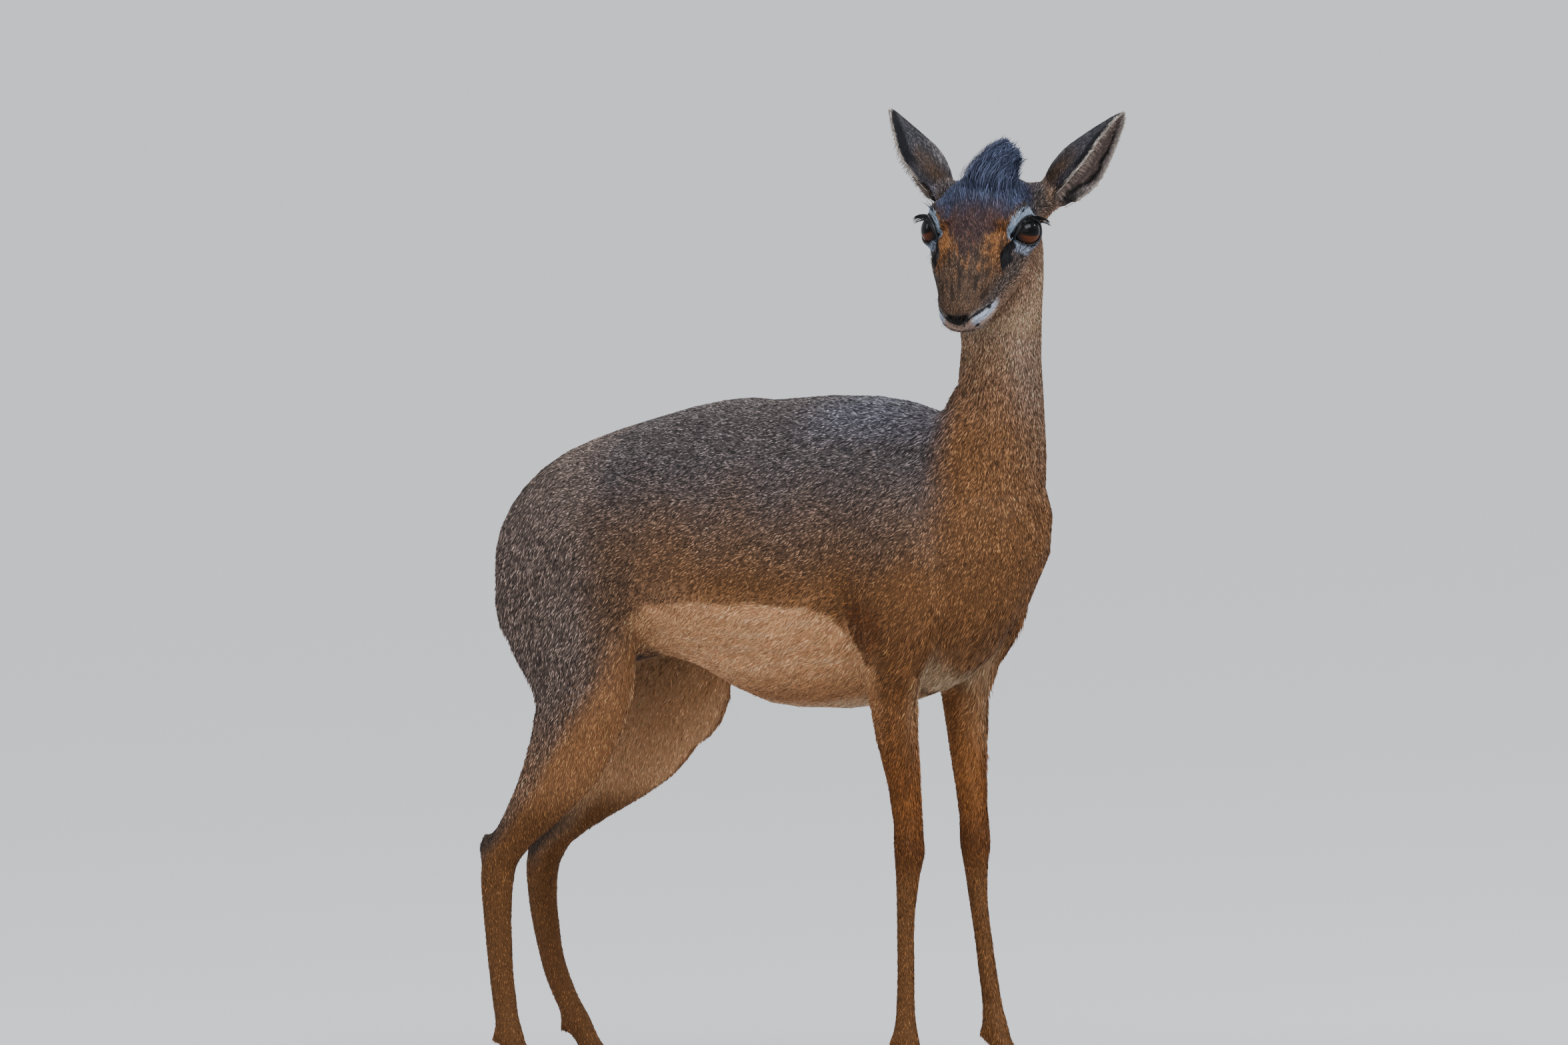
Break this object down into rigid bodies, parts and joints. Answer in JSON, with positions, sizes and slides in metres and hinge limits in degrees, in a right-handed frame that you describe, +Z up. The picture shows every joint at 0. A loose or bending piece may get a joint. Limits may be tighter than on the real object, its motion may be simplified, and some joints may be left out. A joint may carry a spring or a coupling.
{
  "type": "dik-dik",
  "caption": "Life-size standing Kirk's dik-dik, a hornless female looking to her right, with cupped ears, a pointed crest and slender legs on cloven hooves.",
  "frame": {"origin": "centre of the bounding box's bottom, on the floor between the hooves", "axes": "+Z up; the chest faces -Y and the animal's left side is +X; the head is turned towards -X"},
  "size_m": [0.1472, 0.463, 0.5855],
  "materials": {
    "coat": "short grizzled fur",
    "leg": "very short tan fur",
    "crest": "upright dark fur",
    "ear": "thin skin with very short fur",
    "eye": "wet dark eye",
    "hoof": "dark horn"
  },
  "bodies": {
    "root": {"crest": "crest", "ear_left": "ear", "ear_right": "ear", "eye_left": "eye", "eye_right": "eye", "head": "coat", "lower_jaw": "coat", "neck": "coat", "trunk": "coat", "tail": "coat", "fore_arm_left": "leg", "fore_cannon_left": "leg", "fore_pastern_left": "leg", "shank_left": "leg", "hind_cannon_left": "leg", "hind_pastern_left": "leg", "thigh_left": "coat", "fore_hoof_left_inner": "hoof", "fore_hoof_left_outer": "hoof", "hind_hoof_left_inner": "hoof", "hind_hoof_left_outer": "hoof", "fore_arm_right": "leg", "fore_cannon_right": "leg", "fore_pastern_right": "leg", "shank_right": "leg", "hind_cannon_right": "leg", "hind_pastern_right": "leg", "thigh_right": "coat", "fore_hoof_right_inner": "hoof", "fore_hoof_right_outer": "hoof", "hind_hoof_right_inner": "hoof", "hind_hoof_right_outer": "hoof"}
  },
  "joints": []
}
